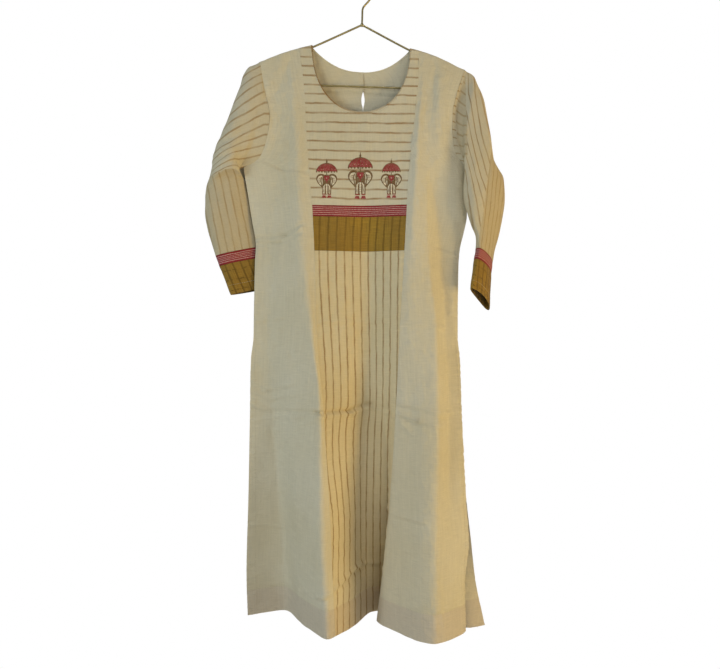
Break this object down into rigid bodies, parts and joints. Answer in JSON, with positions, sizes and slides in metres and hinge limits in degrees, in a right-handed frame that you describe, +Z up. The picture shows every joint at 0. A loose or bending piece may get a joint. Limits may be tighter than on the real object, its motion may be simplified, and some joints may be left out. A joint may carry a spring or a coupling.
{
  "type": "kurta tunic on wire clothes hanger",
  "caption": "Long cotton kurta with striped yoke, printed band, olive panel, side slits and elbow sleeves, hanging from a thin gold-coloured wire hanger.",
  "frame": {"origin": "the rest point inside the top of the hook, where the hanger hangs from a rail", "axes": "+X to the viewer's right of the garment's front, +Y from front to back, +Z up"},
  "size_m": [0.5951, 0.2092, 1.2608],
  "materials": {
    "wire": "satin gold-coloured wire",
    "cream_cotton": "plain slubby cream handloom cotton",
    "striped_cotton": "cream cotton with woven tan stripes",
    "print_band": "red band with fine pale lines",
    "olive_cotton": "olive cotton with darker woven stripes",
    "button": "cream, matte"
  },
  "bodies": {
    "root": {"hanger": "wire", "front_centre_yoke": "striped_cotton", "front_print_band": "print_band", "front_olive_panel": "olive_cotton", "front_centre_skirt": "striped_cotton", "front_side_left": "cream_cotton", "front_side_right": "cream_cotton", "back_panel": "cream_cotton", "back_neck_button": "button", "back_neck_loop": "button", "sleeve_left": "striped_cotton", "sleeve_left_band": "print_band", "sleeve_left_cuff": "olive_cotton", "sleeve_right": "striped_cotton", "sleeve_right_band": "print_band", "sleeve_right_cuff": "olive_cotton"}
  },
  "joints": []
}
